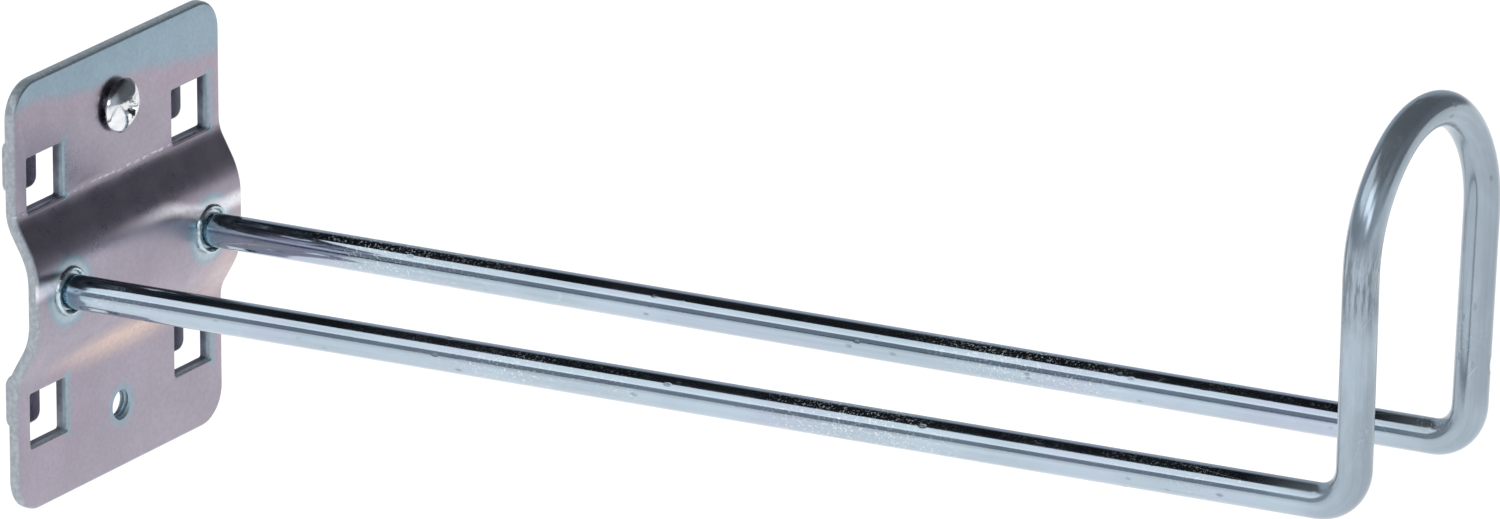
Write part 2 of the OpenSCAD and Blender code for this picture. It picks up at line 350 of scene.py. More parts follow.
class Pattern:
    """Builds nodes in one tree; every method returns an output socket."""

    def __init__(self, tree):
        self.nodes = tree.nodes
        self.links = tree.links
        self.place = None

    def node(self, kind, **settings):
        made = self.nodes.new(kind)
        for key, value in settings.items():
            setattr(made, key, value)
        return made

    def feed(self, socket, value):
        if hasattr(value, "is_linked"):
            self.links.new(value, socket)
        elif hasattr(value, "__len__") and len(value) == 3 and socket.type == "RGBA":
            socket.default_value = (*value, 1)
        else:
            socket.default_value = value

    def stretched(self, scale, shift=(0, 0, 0)):
        made = self.node("ShaderNodeMapping")
        self.links.new(self.place, made.inputs["Vector"])
        made.inputs["Scale"].default_value = scale
        made.inputs["Location"].default_value = shift
        return made.outputs["Vector"]

    def noise(self, scale, detail=3.0, rough=0.55, stretch=(1, 1, 1), shift=(0, 0, 0)):
        made = self.node("ShaderNodeTexNoise")
        self.links.new(self.stretched(stretch, shift), made.inputs["Vector"])
        made.inputs["Scale"].default_value = scale
        made.inputs["Detail"].default_value = detail
        made.inputs["Roughness"].default_value = rough
        return made.outputs["Fac"]

    def specks(self, scale, low, high, stretch=(1, 1, 1)):
        """Small round spots: 1 on a spot and 0 between."""
        made = self.node("ShaderNodeTexVoronoi")
        self.links.new(self.stretched(stretch), made.inputs["Vector"])
        made.inputs["Scale"].default_value = scale
        return self.ramp(made.outputs["Distance"], high, low, 0.0, 1.0)

    def scratches(self, scale, stretch, width):
        """Thin lines between cells: 1 on a line and 0 inside the cells."""
        made = self.node("ShaderNodeTexVoronoi", feature="DISTANCE_TO_EDGE")
        self.links.new(self.stretched(stretch), made.inputs["Vector"])
        made.inputs["Scale"].default_value = scale
        return self.ramp(made.outputs["Distance"], width, width / 3, 0.0, 1.0)

    def ramp(self, value, start, end, low=0.0, high=1.0):
        """Low before start, high after end; start may be the larger."""
        made = self.node("ShaderNodeMapRange", clamp=True, interpolation_type="SMOOTHSTEP")
        if start > end:
            start, end, low, high = end, start, high, low
        self.feed(made.inputs["Value"], value)
        made.inputs["From Min"].default_value = start
        made.inputs["From Max"].default_value = end
        made.inputs["To Min"].default_value = low
        made.inputs["To Max"].default_value = high
        return made.outputs["Result"]

    def maths(self, operation, *values):
        made = self.node("ShaderNodeMath", operation=operation)
        for socket, value in zip(made.inputs, values):
            self.feed(socket, value)
        return made.outputs["Value"]

    def times(self, first, second):
        return self.maths("MULTIPLY", first, second)

    def plus(self, first, second):
        return self.maths("ADD", first, second)

    def larger(self, first, second):
        return self.maths("MAXIMUM", first, second)

    def scaled(self, value, scale, base):
        """The value times a scale, plus a base."""
        return self.maths("MULTIPLY_ADD", value, scale, base)

    def away(self, value, centre):
        """How far a value is from a centre, either way."""
        return self.maths("ABSOLUTE", self.maths("SUBTRACT", value, centre))

    def axis(self, name):
        made = self.node("ShaderNodeSeparateXYZ")
        self.links.new(self.place, made.inputs["Vector"])
        return made.outputs[name]

    def near(self, point, inner, outer, stretch=(1, 1, 1)):
        """1 within inner of a point, 0 beyond outer, smooth between."""
        offset = self.node("ShaderNodeVectorMath", operation="SUBTRACT")
        self.links.new(self.place, offset.inputs[0])
        offset.inputs[1].default_value = tuple(point)
        scaled = self.node("ShaderNodeVectorMath", operation="MULTIPLY")
        self.links.new(offset.outputs["Vector"], scaled.inputs[0])
        scaled.inputs[1].default_value = stretch
        distance = self.node("ShaderNodeVectorMath", operation="LENGTH")
        self.links.new(scaled.outputs["Vector"], distance.inputs[0])
        return self.ramp(distance.outputs["Value"], outer, inner)

    def mix(self, factor, first, second, blend="MIX"):
        made = self.node("ShaderNodeMix", data_type="RGBA", blend_type=blend)
        self.feed(made.inputs[0], factor)
        self.feed(made.inputs[6], first)
        self.feed(made.inputs[7], second)
        return made.outputs[2]


class Finish(Pattern):
    """One plated metal: its shader, and where its patterns are read."""

    def __init__(self, name, base, roughness, attribute=None):
        self.material = bpy.data.materials.new(name)
        self.material.use_nodes = True
        super().__init__(self.material.node_tree)
        self.shader = self.nodes["Principled BSDF"]
        self.shader.inputs["Metallic"].default_value = 1.0
        self.shader.inputs["Base Color"].default_value = (*base, 1)
        self.shader.inputs["Roughness"].default_value = roughness
        if attribute:
            self.place = self.node("ShaderNodeAttribute", attribute_name=attribute).outputs["Vector"]
        else:
            self.place = self.node("ShaderNodeTexCoord").outputs["Object"]

    def bump(self, height, distance, strength=1.0):
        made = self.node("ShaderNodeBump")
        made.inputs["Strength"].default_value = strength
        made.inputs["Distance"].default_value = distance
        self.links.new(height, made.inputs["Height"])
        if self.shader.inputs["Normal"].is_linked:
            self.links.new(self.shader.inputs["Normal"].links[0].from_socket, made.inputs["Normal"])
        self.links.new(made.outputs["Normal"], self.shader.inputs["Normal"])

    def colour(self, value):
        self.feed(self.shader.inputs["Base Color"], value)

    def roughness(self, value):
        self.feed(self.shader.inputs["Roughness"], value)

    def metal(self, value):
        self.feed(self.shader.inputs["Metallic"], value)


def plate_finish(settings, rib_foot):
    zinc = Finish("zinc_plate", settings.base, settings.roughness)
    high = zinc.axis("Z")
    across = zinc.axis("X")
    cloud = zinc.noise(55, 3, 0.6)
    drift = zinc.noise(18, 2, 0.5, shift=(3, 1, 7))
    tone = zinc.mix(zinc.ramp(cloud, 0.35, 0.7), settings.base, shaded(settings.base, 0.90))
    tone = zinc.mix(zinc.ramp(drift, 0.4, 0.65, 0, 0.32), tone, settings.rose)
    # Blue along the top with a wavy lower border that drops to the right, and rose below it
    border = zinc.scaled(across, 0.075, high)
    border = zinc.scaled(zinc.maths("SUBTRACT", drift, 0.5), 0.009, border)
    border = zinc.scaled(zinc.maths("SUBTRACT", cloud, 0.5), 0.004, border)
    top = PLATE_HIGH.z
    tone = zinc.mix(zinc.ramp(border, top - 0.0135, top - 0.0075, 0, 0.40), tone, settings.rose)
    tone = zinc.mix(zinc.ramp(border, top - 0.0082, top - 0.0052, 0, 0.85), tone, settings.blue)
    front = zinc.node("ShaderNodeAttribute", attribute_name="front_side").outputs["Fac"]
    front = zinc.ramp(front, 0.2, 0.5)
    # Warm streak in the bend below the rib, rosier towards its ends
    streak = zinc.near((0.001, PLATE_LOW.y / 2, -rib_foot + 0.0020), 0.0, 0.0048, (0.17, 0.3, 1.15))
    tone = zinc.mix(zinc.times(streak, zinc.ramp(drift, 0.3, 0.6, 0.40, 0.75)),
                    tone, settings.amber)
    blush = zinc.near((PLATE_HIGH.x, PLATE_LOW.y, -0.008), 0.001, 0.011, (0.8, 0.5, 0.8))
    tone = zinc.mix(zinc.times(blush, 0.35), tone, settings.amber)
    # Sheared edges: blue-grey, with a paler line where the shear let go
    cut = zinc.node("ShaderNodeAttribute", attribute_name="cut_edge").outputs["Fac"]
    cut = zinc.ramp(cut, 0.03, 0.34)
    sheared = zinc.mix(zinc.ramp(zinc.noise(1500, 3, 0.6, shift=(7, 1, 5)), 0.35, 0.68),
                       shaded(settings.rim, 0.50), shaded(settings.rim, 0.70))
    tone = zinc.mix(zinc.times(cut, 0.85), tone, sheared)
    # Painted shade: dark blue inside the windows and on the tabs, standing in for the shade and dark
    # reflections there
    for side in (-1, 1):
        for level in (-1, 1):
            inside = within(zinc, window_centre(settings, side, level) + Y_AXIS * 0.0009,
                            (settings.window_width / 2 + 0.0001, 0.0019,
                             settings.window_height / 2 + 0.0001), 0.0003)
            patchy = zinc.ramp(cloud, 0.40, 0.62, 0.95, 0.55)
            tone = zinc.mix(zinc.times(inside, patchy), tone, settings.window_shade)
    for place, inner, outer in plate_halos(settings):
        tone = zinc.mix(zinc.times(zinc.near(place, inner, outer), 0.7),
                        tone, settings.blue)
    # Around each weld a pale disc with a blue rim
    for place, _ in welded_ends(bpy.context.scene.hook_wire):
        disc = zinc.near(place, 0.0050, 0.0064)
        pale = zinc.near(place, 0.0044, 0.0054)
        tone = zinc.mix(zinc.times(disc, zinc.ramp(front, 0, 1, 0.25, 0.8)),
                        tone, settings.blue)
        tone = zinc.mix(zinc.times(pale, zinc.ramp(front, 0, 1, 0, 0.55)),
                        tone, settings.rim)
    grain = zinc.noise(1400, 1, 0.5)
    tone = zinc.mix(zinc.ramp(grain, 0.3, 0.75, 0, 0.20), tone, shaded(settings.base, 0.6))
    # Thin broken line of wear along the upper bend, left by the press
    flakes = zinc.ramp(zinc.noise(2100, 4, 0.75, stretch=(0.35, 1, 1)), 0.50, 0.62)
    press_line = zinc.ramp(zinc.away(high, rib_foot - 0.0009),
                           0.00032, 0.00004)
    # Painted highlight along the crest: it dips at each welded arm and fades between them
    crest_height = zinc.scaled(zinc.ramp(zinc.away(across, 0),
                                                      0.006, 0.019), -0.0032, 0.0056)
    off_crest = zinc.away(high, crest_height)
    lit = zinc.plus(zinc.ramp(across, -0.008, 0.017, 0, 1),
                    zinc.ramp(across, -0.015, -0.019, 0, 0.9))
    crest_highlight = zinc.times(zinc.ramp(off_crest, 0.0019, 0.0002), lit)
    crest_highlight = zinc.times(crest_highlight, zinc.ramp(grain, 0.3, 0.6, 0.72, 0.92))
    wear_and_highlight = zinc.times(zinc.times(flakes, press_line), 0.62)
    wear_and_highlight = zinc.times(front, zinc.larger(wear_and_highlight, crest_highlight))
    # Pale colour for the press line's wear and for the painted crest highlight
    tone = zinc.mix(wear_and_highlight, tone, (0.80, 0.80, 0.86))
    zinc.colour(tone)
    dull = zinc.larger(zinc.times(wear_and_highlight, 0.62), zinc.times(cut, 0.42))
    zinc.metal(zinc.maths("SUBTRACT", 1.0, dull))
    rough = zinc.ramp(zinc.noise(240, 4, 0.6, shift=(5, 5, 5)), 0.3, 0.7,
                      settings.roughness - 0.04, settings.roughness + 0.06)
    zinc.roughness(zinc.scaled(cut, 0.08, rough))
    zinc.bump(zinc.noise(1300, 2, 0.5, shift=(2, 0, 4)), 0.00002, 0.14)
    zinc.bump(zinc.times(cut, zinc.noise(1100, 3, 0.6)), 0.00006, 0.22)
    return zinc.material


def shaded(colour_value, share):
    """A colour made lighter or darker."""
    return tuple(min(1.0, part * share) for part in colour_value)


def within(pattern, centre, half, soft):
    """1 inside a box around a centre, 0 a little outside it."""
    inside = None
    for name, middle, reach in zip("XYZ", centre, half):
        away = pattern.away(pattern.axis(name), middle)
        along = pattern.ramp(away, reach + soft, reach)
        inside = along if inside is None else pattern.times(inside, along)
    return inside


def plate_halos(settings):
    """Bluish halos around the tapped hole and beside the windows: (place, inner, outer)."""
    front = -settings.sheet
    halos = [(Vector((TAPPED_HOLE.x, front, TAPPED_HOLE.z)), 0.0026, 0.0042)]
    for side in (-1, 1):
        for level in (-1, 1):
            centre = window_centre(settings, side, level)
            edge = centre.x + settings.window_width / 2 + 0.0002
            for part in (-0.5, -0.25, 0, 0.25, 0.5):
                halos.append((Vector((edge, front, centre.z + part * settings.window_height)),
                              0.0002, 0.0017))
    return halos


def wire_finish(settings, arm, whole):
    """Bright drawn arms and a duller, greyer loop; patterns follow the wire through its bends."""
    zinc = Finish("zinc_wire", settings.base, settings.roughness, attribute="straight")
    along = zinc.axis("X")
    loop = zinc.times(zinc.ramp(along, arm - 0.016, arm + 0.006),
                     zinc.ramp(along, whole - arm + 0.016, whole - arm - 0.006))
    root = zinc.plus(zinc.ramp(along, 0.0105, 0.0040),
                     zinc.ramp(along, whole - 0.0105, whole - 0.0040))
    lines = zinc.noise(1300, 3, 0.6, stretch=(0.02, 1, 1))
    blotch = zinc.noise(90, 4, 0.65, stretch=(0.5, 1, 1))
    tone = zinc.mix(zinc.ramp(lines, 0.35, 0.7, 0, 0.5), settings.base, shaded(settings.base, 0.80))
    tone = zinc.mix(zinc.ramp(blotch, 0.42, 0.68, 0, 0.6), tone, shaded(settings.base, 1.12))
    mauve = tuple(min(1, c * k) for c, k in zip(settings.base, (1.04, 0.90, 1.02)))
    tone = zinc.mix(zinc.ramp(zinc.noise(35, 2, 0.5, shift=(1, 4, 2)), 0.45, 0.7, 0, 0.6),
                    tone, mauve)
    grey = zinc.mix(zinc.ramp(blotch, 0.38, 0.66), shaded(settings.loop, 0.86),
                    shaded(settings.loop, 1.12))
    grey = zinc.mix(zinc.ramp(lines, 0.40, 0.66, 0, 0.35), grey, shaded(settings.loop, 0.70))
    tone = zinc.mix(zinc.times(loop, 0.92), tone, grey)
    tone = zinc.mix(zinc.times(root, 0.75), tone, settings.root)
    band = zinc.ramp(zinc.away(along, arm + 0.0355), 0.009, 0.002)
    streaks = zinc.ramp(zinc.noise(1500, 4, 0.7, stretch=(0.12, 1, 1), shift=(8, 1, 3)), 0.40, 0.62)
    band = zinc.times(band, streaks)
    tone = zinc.mix(zinc.times(band, 0.75), tone, shaded(settings.loop, 0.34))
    pits = zinc.times(zinc.specks(520, 0.10, 0.22, (0.5, 1, 1)),
                     zinc.ramp(zinc.noise(60, 3, 0.6, shift=(9, 2, 1)), 0.50, 0.62))
    tone = zinc.mix(zinc.times(pits, 0.55), tone, shaded(settings.base, 0.35))
    # Fine dust-like wear in patches, and a few hair scratches
    patch = zinc.ramp(zinc.noise(26, 3, 0.6, stretch=(0.6, 1, 1), shift=(4, 7, 3)), 0.46, 0.62)
    wear = zinc.times(zinc.ramp(zinc.noise(2300, 3, 0.7), 0.55, 0.64), patch)
    wear = zinc.times(wear, zinc.scaled(loop, -0.65, 1.0))
    hair = zinc.scratches(330, (0.22, 1, 1), 0.006)
    hair = zinc.times(hair, zinc.ramp(zinc.noise(75, 2, 0.5, shift=(2, 9, 5)), 0.56, 0.62))
    worn = zinc.larger(zinc.times(wear, 0.55), zinc.times(hair, 0.35))
    # One nick, knocked into the front of the loop's right leg
    straight = zinc.place
    zinc.place = zinc.node("ShaderNodeTexCoord").outputs["Object"]
    leg = Vector((settings.corner_spacing / 2 + 0.0010, -settings.reach - 0.0030, 0.0238))
    nick = zinc.near(leg, 0.00025, 0.00055, (1, 1, 0.35))
    burr = zinc.near(leg, 0.00060, 0.00090, (1, 1, 0.45))
    zinc.place = straight
    tone = zinc.mix(zinc.times(burr, 0.7), tone, shaded(settings.loop, 0.35))
    worn = zinc.larger(worn, zinc.times(nick, 0.9))
    tone = zinc.mix(worn, tone, (0.80, 0.82, 0.84))
    zinc.colour(tone)
    shine = zinc.scaled(loop, -0.20, 1.0)
    zinc.metal(zinc.scaled(worn, -0.6, shine))
    rough = zinc.ramp(blotch, 0.35, 0.7, settings.roughness - 0.02, settings.roughness + 0.05)
    rough = zinc.scaled(loop, settings.loop_roughness - settings.roughness, rough)
    zinc.roughness(zinc.scaled(pits, 0.25, rough))
    zinc.bump(lines, 0.00002, 0.25)
    zinc.bump(zinc.times(loop, zinc.noise(260, 4, 0.65, stretch=(0.4, 1, 1))),
              0.00008, 0.30)
    zinc.bump(zinc.times(pits, -1.0), 0.00006, 0.6)
    return zinc.material


def weld_finish(settings):
    zinc = Finish("zinc_weld", settings.base, settings.roughness)
    cloud = zinc.noise(500, 4, 0.65)
    zinc.colour(zinc.mix(zinc.ramp(cloud, 0.35, 0.7), settings.base,
                         shaded(settings.base, 0.7)))
    zinc.roughness(zinc.ramp(cloud, 0.3, 0.7, settings.roughness - 0.06, settings.roughness + 0.12))
    zinc.bump(zinc.noise(1600, 4, 0.6), 0.00008, 0.35)
    return zinc.material


def screw_finish(settings):
    zinc = Finish("zinc_screw", settings.base, settings.roughness)
    cloud = zinc.noise(700, 3, 0.6)
    zinc.colour(zinc.mix(zinc.ramp(cloud, 0.4, 0.7, 0, 0.6), settings.base,
                         shaded(settings.base, 0.8)))
    zinc.roughness(zinc.ramp(cloud, 0.3, 0.7, settings.roughness - 0.04, settings.roughness + 0.08))
    zinc.bump(zinc.noise(2200, 3, 0.55), 0.00003, 0.3)
    return zinc.material


# Plate -------------------------------------------------------------------------------------

def window_centre(settings, side, level):
    pitch = settings.hole_pitch / 2
    return Vector((side * pitch, 0, settings.pattern_height + level * pitch))


def rib_sizes(settings):
    """Rise of the rib, height of its straight side, and height at which its foot bend ends."""
    rise = -PLATE_LOW.y - settings.sheet
    radii = settings.rib_top_radius + settings.rib_foot_radius
    straight_y = rise - radii * (1 - math.cos(settings.rib_slope))
    straight_z = straight_y / math.tan(settings.rib_slope)
    foot = settings.rib_flat / 2 + radii * math.sin(settings.rib_slope) + straight_z
    return rise, straight_y, straight_z, foot


def rolled_sheet(settings):
    """The back face, rolled from the plate's top over the rib to its bottom, then given its thickness."""
    rise, straight_y, straight_z, foot = rib_sizes(settings)
    width = PLATE_HIGH.x - PLATE_LOW.x
    flat = PLATE_HIGH.z - foot
    steps = 10
    sheet = added(bpy.ops.mesh.primitive_plane_add, "zinc_plated_plate", size=1,
                  location=(0, 0, foot + flat / 2), rotation=(math.pi / 2, 0, 0))
    sheet.scale = (width, flat, 1)
    fixed(sheet)
    pick(sheet, "VERT", lambda v: v.co.z < foot + flat / 2)
    slope = settings.rib_slope
    half = settings.rib_flat / 2
    top_y = settings.rib_top_radius - rise
    swept(-slope, (0, -settings.rib_foot_radius, foot), X_AXIS, steps)
    pushed((0, -straight_y, -straight_z))
    swept(slope, (0, top_y, half), X_AXIS, steps)
    pushed((0, 0, -settings.rib_flat))
    swept(slope, (0, top_y, -half), X_AXIS, steps)
    pushed((0, straight_y, -straight_z))
    swept(-slope, (0, -settings.rib_foot_radius, -foot), X_AXIS, steps)
    pushed((0, 0, -flat))
    corner_x, corner_z = PLATE_HIGH.x - CLOSE, PLATE_HIGH.z - CLOSE
    pick(sheet, "VERT", lambda v: abs(v.co.x) > corner_x and abs(v.co.z) > corner_z)
    bpy.ops.mesh.bevel(offset=settings.corner_radius, segments=10, affect="VERTICES")
    done_editing()
    faces_outward(sheet)
    thickened(sheet, settings.sheet, PLATE_LOW.y, 0)
    finished(sheet, "BEVEL", width=settings.edge_round, segments=4, limit_method="ANGLE",
             angle_limit=math.radians(50), use_clamp_overlap=False)
    return sheet


def window_tool(settings):
    """A punch the size of a window that flares at the front, so it leaves a rolled rim."""
    radius = settings.window_round
    waist = -settings.sheet + radius
    back = settings.sheet
    tool = added(bpy.ops.mesh.primitive_cube_add, "window_tool", size=1,
                 location=(0, (waist + back) / 2, 0))
    tool.scale = (settings.window_width, back - waist, settings.window_height)
    fixed(tool)
    pick(tool, "EDGE", lambda e: abs((tool.data.vertices[e.vertices[0]].co
                                      - tool.data.vertices[e.vertices[1]].co).normalized().y) > 0.9)
    bpy.ops.mesh.bevel(offset=0.0004, segments=3, affect="EDGES")
    done_editing()
    half_width, half_height = settings.window_width / 2, settings.window_height / 2
    steps = 5
    flare, depth = 0.0, waist
    for i in range(1, steps + 2):
        turn = min(i / steps, 1) * math.pi / 2
        next_flare = radius * (1 - math.cos(turn))
        next_depth = waist - radius * math.sin(turn)
        if i > steps:
            next_depth -= radius
        pick(tool, "FACE", lambda f: f.normal.y < -0.99 and f.center.y < depth + CLOSE)
        pushed((0, next_depth - depth, 0))
        bpy.ops.transform.resize(value=((half_width + next_flare) / (half_width + flare), 1,
                                        (half_height + next_flare) / (half_height + flare)),
                                 center_override=(0, next_depth, 0))
        done_editing()
        flare, depth = next_flare, next_depth
    faces_outward(tool)
    return tool


def hanging_tab(settings):
    """One tab around its window's centre: out of the plate's back, over the panel and down."""
    under = settings.window_height / 2 + 0.00002
    gap = PLATE_HIGH.y - settings.sheet
    root = -settings.sheet / 4
    bend_y = gap - settings.tab_bend
    bend_z = under - settings.tab_bend
    tip = -settings.window_height / 2 + settings.tab_rise
    tab = added(bpy.ops.mesh.primitive_plane_add, "hanging_tab", size=1,
                location=(0, (root + bend_y) / 2, under), rotation=(math.pi, 0, 0))
    tab.scale = (settings.tab_width, bend_y - root, 1)
    fixed(tab)
    pick(tab, "VERT", lambda v: v.co.y > (root + bend_y) / 2)
    swept(-math.pi / 2, (0, bend_y, bend_z), X_AXIS, 6)
    pushed((0, 0, tip - bend_z))
    done_editing()
    pick(tab, "VERT", lambda v: v.co.z < tip + 1e-6)
    bpy.ops.mesh.bevel(offset=settings.tab_corner, segments=6, affect="VERTICES")
    done_editing()
    thickened(tab, settings.sheet, root, PLATE_HIGH.y)
    finished(tab, "BEVEL", width=settings.edge_round * 0.8, segments=3, limit_method="ANGLE",
             angle_limit=math.radians(50))
    return tab


def threaded_rod(name, low_radius, high_radius, pitch, low, high):
    """A rod along Z with a screw thread, closed at both ends by flat cuts."""
    turns = math.ceil((high - low) / pitch) + 2
    depth = high_radius - low_radius
    rod = added(bpy.ops.mesh.primitive_plane_add, name, size=pitch / 2,
                location=(low_radius, 0, low - pitch))
    fixed(rod)
    picked_all(rod)
    bpy.ops.mesh.merge(type="CENTER")
    bpy.ops.mesh.select_all(action="SELECT")
    for out, up in ((depth, 0.44), (0, 0.12), (-depth, 0.44)):
        pushed((out, 0, up * pitch))
    done_editing()
    finished(rod, "SCREW", angle=2 * math.pi, screw_offset=pitch, iterations=turns, steps=40,
             render_steps=40, axis="Z", use_merge_vertices=True, merge_threshold=MERGE,
             use_smooth_shade=False)
    ends_closed(rod)
    return rod


class HOOK_OT_plate(bpy.types.Operator):
    """Model the pressed plate with its rib, windows, tabs and tapped holes"""
    bl_idname = "hook.plate"
    bl_label = "Plate"

    def execute(self, context):
        settings = context.scene.hook_plate
        screw = context.scene.hook_screw
        plate = rolled_sheet(settings)
        tool = window_tool(settings)
        centres = [window_centre(settings, side, level) for side in (-1, 1) for level in (-1, 1)]
        for centre in centres:
            cut_with(plate, copied(tool, centre))
        bpy.data.objects.remove(tool, do_unlink=True)
        tab = hanging_tab(settings)
        for centre in centres:
            cut_with(plate, copied(tab, centre), "UNION")
        bpy.data.objects.remove(tab, do_unlink=True)
        self.tap(plate, settings, TAPPED_HOLE, TAPPED_RADIUS, screw.thread / 2, screw.pitch)
        clear = screw.thread / 2 + 0.00012
        self.tap(plate, settings, SCREW_AXIS, clear, clear, screw.pitch)
        faces_outward(plate)
        smoothed(plate)
        _, _, _, foot = rib_sizes(settings)
        self.mark_cut_edges(plate, foot)
        settled(plate, "rack", "back_plate", plate_finish(settings, foot))
        return {"FINISHED"}

    def tap(self, plate, settings, place, low_radius, high_radius, pitch):
        """Cuts a hole with a small lead-in at the front and, where the radii differ, its thread."""
        sheet = settings.sheet
        lead = 0.0003
        rings = [(low_radius + lead + sheet, -sheet), (low_radius, lead), (low_radius, sheet - lead / 2),
                 (low_radius + sheet, 2 * sheet - lead / 2)]
        drill = stacked_rings("drill", rings, 64)
        ends_closed(drill)
        stood_along(drill, Vector((place.x, -sheet, place.z)), Y_AXIS)
        cut_with(plate, drill)
        if high_radius > low_radius:
            rod = threaded_rod("tap", low_radius - 0.0001, high_radius, pitch, -sheet / 2, 1.5 * sheet)
            stood_along(rod, Vector((place.x, -sheet, place.z)), Y_AXIS)
            cut_with(plate, rod)

    def mark_cut_edges(self, plate, foot):
        """Stores how far each face turns towards a sheared edge, and how far it faces the front."""
        cut = plate.data.attributes.new("cut_edge", "FLOAT", "FACE")
        front = plate.data.attributes.new("front_side", "FLOAT", "FACE")
        for face in plate.data.polygons:
            on_rib = abs(face.center.z) < foot
            front.data[face.index].value = max(0.0, -face.normal.y)
            cut.data[face.index].value = abs(face.normal.x) if on_rib else 1 - abs(face.normal.y)


# Wire --------------------------------------------------------------------------------------

def wire_corners(settings):
    """The wire's corners from the left welded end to the right one, and the bend at each."""
    front = PLATE_LOW.y
    corner_z = (settings.reach + front) * math.tan(settings.rise)
    top_z = WIRE_HIGH.z - settings.diameter / 2
    half = settings.shoulder_spacing / 2
    slope = settings.shoulder_slope
    peak = half / math.tan(slope)
    shoulder_z = top_z - (peak - settings.top_bend / math.sin(slope) + settings.top_bend)
    turn = slope + math.atan((half - settings.corner_spacing / 2) / (shoulder_z - corner_z))
    shoulder_bend = (half / math.sin(slope) - settings.top_bend / math.tan(slope)) / math.tan(turn / 2)

    def in_loop(x, z):
        return Vector((x, -settings.reach - (z - corner_z) * math.tan(settings.lean), z))

    right = [
        (in_loop(half, shoulder_z), shoulder_bend),
        (in_loop(settings.corner_spacing / 2, corner_z), settings.corner_bend),
        (Vector((settings.root_spacing / 2, front, -settings.root_skew / 2)), 0),
    ]
    left = [(Vector((-p.x, p.y, -p.z if bend == 0 else p.z)), bend) for p, bend in reversed(right)]
    return left + [(in_loop(0, shoulder_z + peak), settings.top_bend)] + right


def welded_ends(settings):
    """Each welded end's centre and the direction in which its arm leaves the plate."""
    corners = [place for place, _ in wire_corners(settings)]
    return [(corners[0], (corners[1] - corners[0]).normalized()),
            (corners[-1], (corners[-2] - corners[-1]).normalized())]


def straighten(wire, stations):
    """Stores where each point would lie if the wire were straight: along it, and out from its axis."""
    straight = wire.data.attributes.new("straight", "FLOAT_VECTOR", "POINT")
    values = []
    for vertex in wire.data.vertices:
        along, centre, square, other = min(stations, key=lambda s: (s[1] - vertex.co).length_squared)
        offset = vertex.co - centre
        values.extend((along, offset.dot(square), offset.dot(other)))
    straight.data.foreach_set("vector", values)


class HOOK_OT_wire(bpy.types.Operator):
    """Sweep the bent wire that makes the two arms and the loop"""
    bl_idname = "hook.wire"
    bl_label = "Wire"

    def execute(self, context):
        settings = context.scene.hook_wire
        radius = settings.diameter / 2
        corners = wire_corners(settings)
        places = [place for place, _ in corners]
        headings = [(b - a).normalized() for a, b in zip(places, places[1:])]
        # Both ends start a little inside the rib, to be cut flush with it
        inside = radius
        start = places[0] - headings[0] * inside
        wire = added(bpy.ops.mesh.primitive_circle_add, "bent_wire", vertices=48, radius=radius)
        square = X_AXIS.cross(headings[0]).normalized()
        stations = [(0, start, square, headings[0].cross(square))]
        stood_along(wire, start, headings[0])
        picked_all(wire)
        at, run = start, 0
        for i, heading in enumerate(headings):
            last = i == len(headings) - 1
            turn = 0 if last else heading.angle(headings[i + 1])
            bend = corners[i + 1][1]
            end = places[i + 1] - heading * (bend * math.tan(turn / 2))
            if last:
                end = places[-1] + heading * inside
            if (end - at).length > 1e-5:
                pushed(end - at)
                run += (end - at).length
                stations.append((run, end, square, heading.cross(square)))
            if not last:
                axis = heading.cross(headings[i + 1]).normalized()
                inward = (headings[i + 1] - heading).normalized()
                centre = places[i + 1] + inward * (bend / math.cos(turn / 2))
                steps = max(8, round(math.degrees(turn) / 4))
                swept(turn, centre, axis, steps)
                for k in range(1, steps + 1):
                    spin = Quaternion(axis, turn * k / steps)
                    side = spin @ square
                    ahead = spin @ heading
                    stations.append((run + bend * turn * k / steps, centre + spin @ (end - centre),
                                     side, ahead.cross(side)))
                at = stations[-1][1]
                run = stations[-1][0]
                square = stations[-1][2]
        done_editing()
        straighten(wire, stations)
        cut_at_rib(wire, fill=True)
        faces_outward(wire)
        smoothed(wire)
        arm = (places[1] - places[0]).length
        settled(wire, "rack", "hook_wire", wire_finish(settings, arm, run))
        return {"FINISHED"}


# Welds -------------------------------------------------------------------------------------

class HOOK_OT_welds(bpy.types.Operator):
    """Form the collar of weld metal around each end of the wire"""
    bl_idname = "hook.welds"
    bl_label = "Weld collars"

    def execute(self, context):
        settings = context.scene.hook_weld
        wire = context.scene.hook_wire
        inner = wire.diameter / 2
        finish = weld_finish(settings)
        sides = ("left", "right")
        for number, (side, (place, heading)) in enumerate(zip(sides, welded_ends(wire))):
            collar = self.collar(f"{side}_weld_metal", settings, inner)
            self.roughen(collar, settings, number)
            stood_along(collar, place, heading)
            cut_at_rib(collar, fill=False)
            pick_open_edges(collar)
            bpy.ops.mesh.bridge_edge_loops()
            done_editing()
            faces_outward(collar)
            smoothed(collar, 60)
            settled(collar, "rack", f"{side}_weld_collar", finish)
        return {"FINISHED"}

    def collar(self, name, settings, inner):
        """A ring of squeezed-out metal: a raised lip with a groove between it and the wire."""
        width, height = settings.width, settings.height
        shape = [(0.10, -1.0), (1.00, -1.0), (1.00, -0.05), (0.92, 0.30), (0.76, 0.46), (0.58, 0.42),
                 (0.44, 0.16), (0.36, -0.10), (0.20, -0.24), (0.02, -0.26), (-0.06, -0.30),
                 (-0.06, -0.8)]
        rings = [(inner + width * out, height * up) for out, up in shape]
        ring = stacked_rings(name, rings, 40)
        pick_open_edges(ring)
        bpy.ops.mesh.bridge_edge_loops()
        done_editing()
        finished(ring, "SUBSURF", levels=2, render_levels=2)
        return ring

    def roughen(self, collar, settings, number):
        """Small swells and hollows, different on each collar, that keep it inside its outline."""
        swell = bpy.data.textures.new(f"swell_{number}", "CLOUDS")
        swell.noise_scale = 0.0016 + 0.0003 * number
        finished(collar, "DISPLACE", texture=swell, texture_coords="LOCAL", strength=0.00028,
                 mid_level=0.75)


# Screw -------------------------------------------------------------------------------------

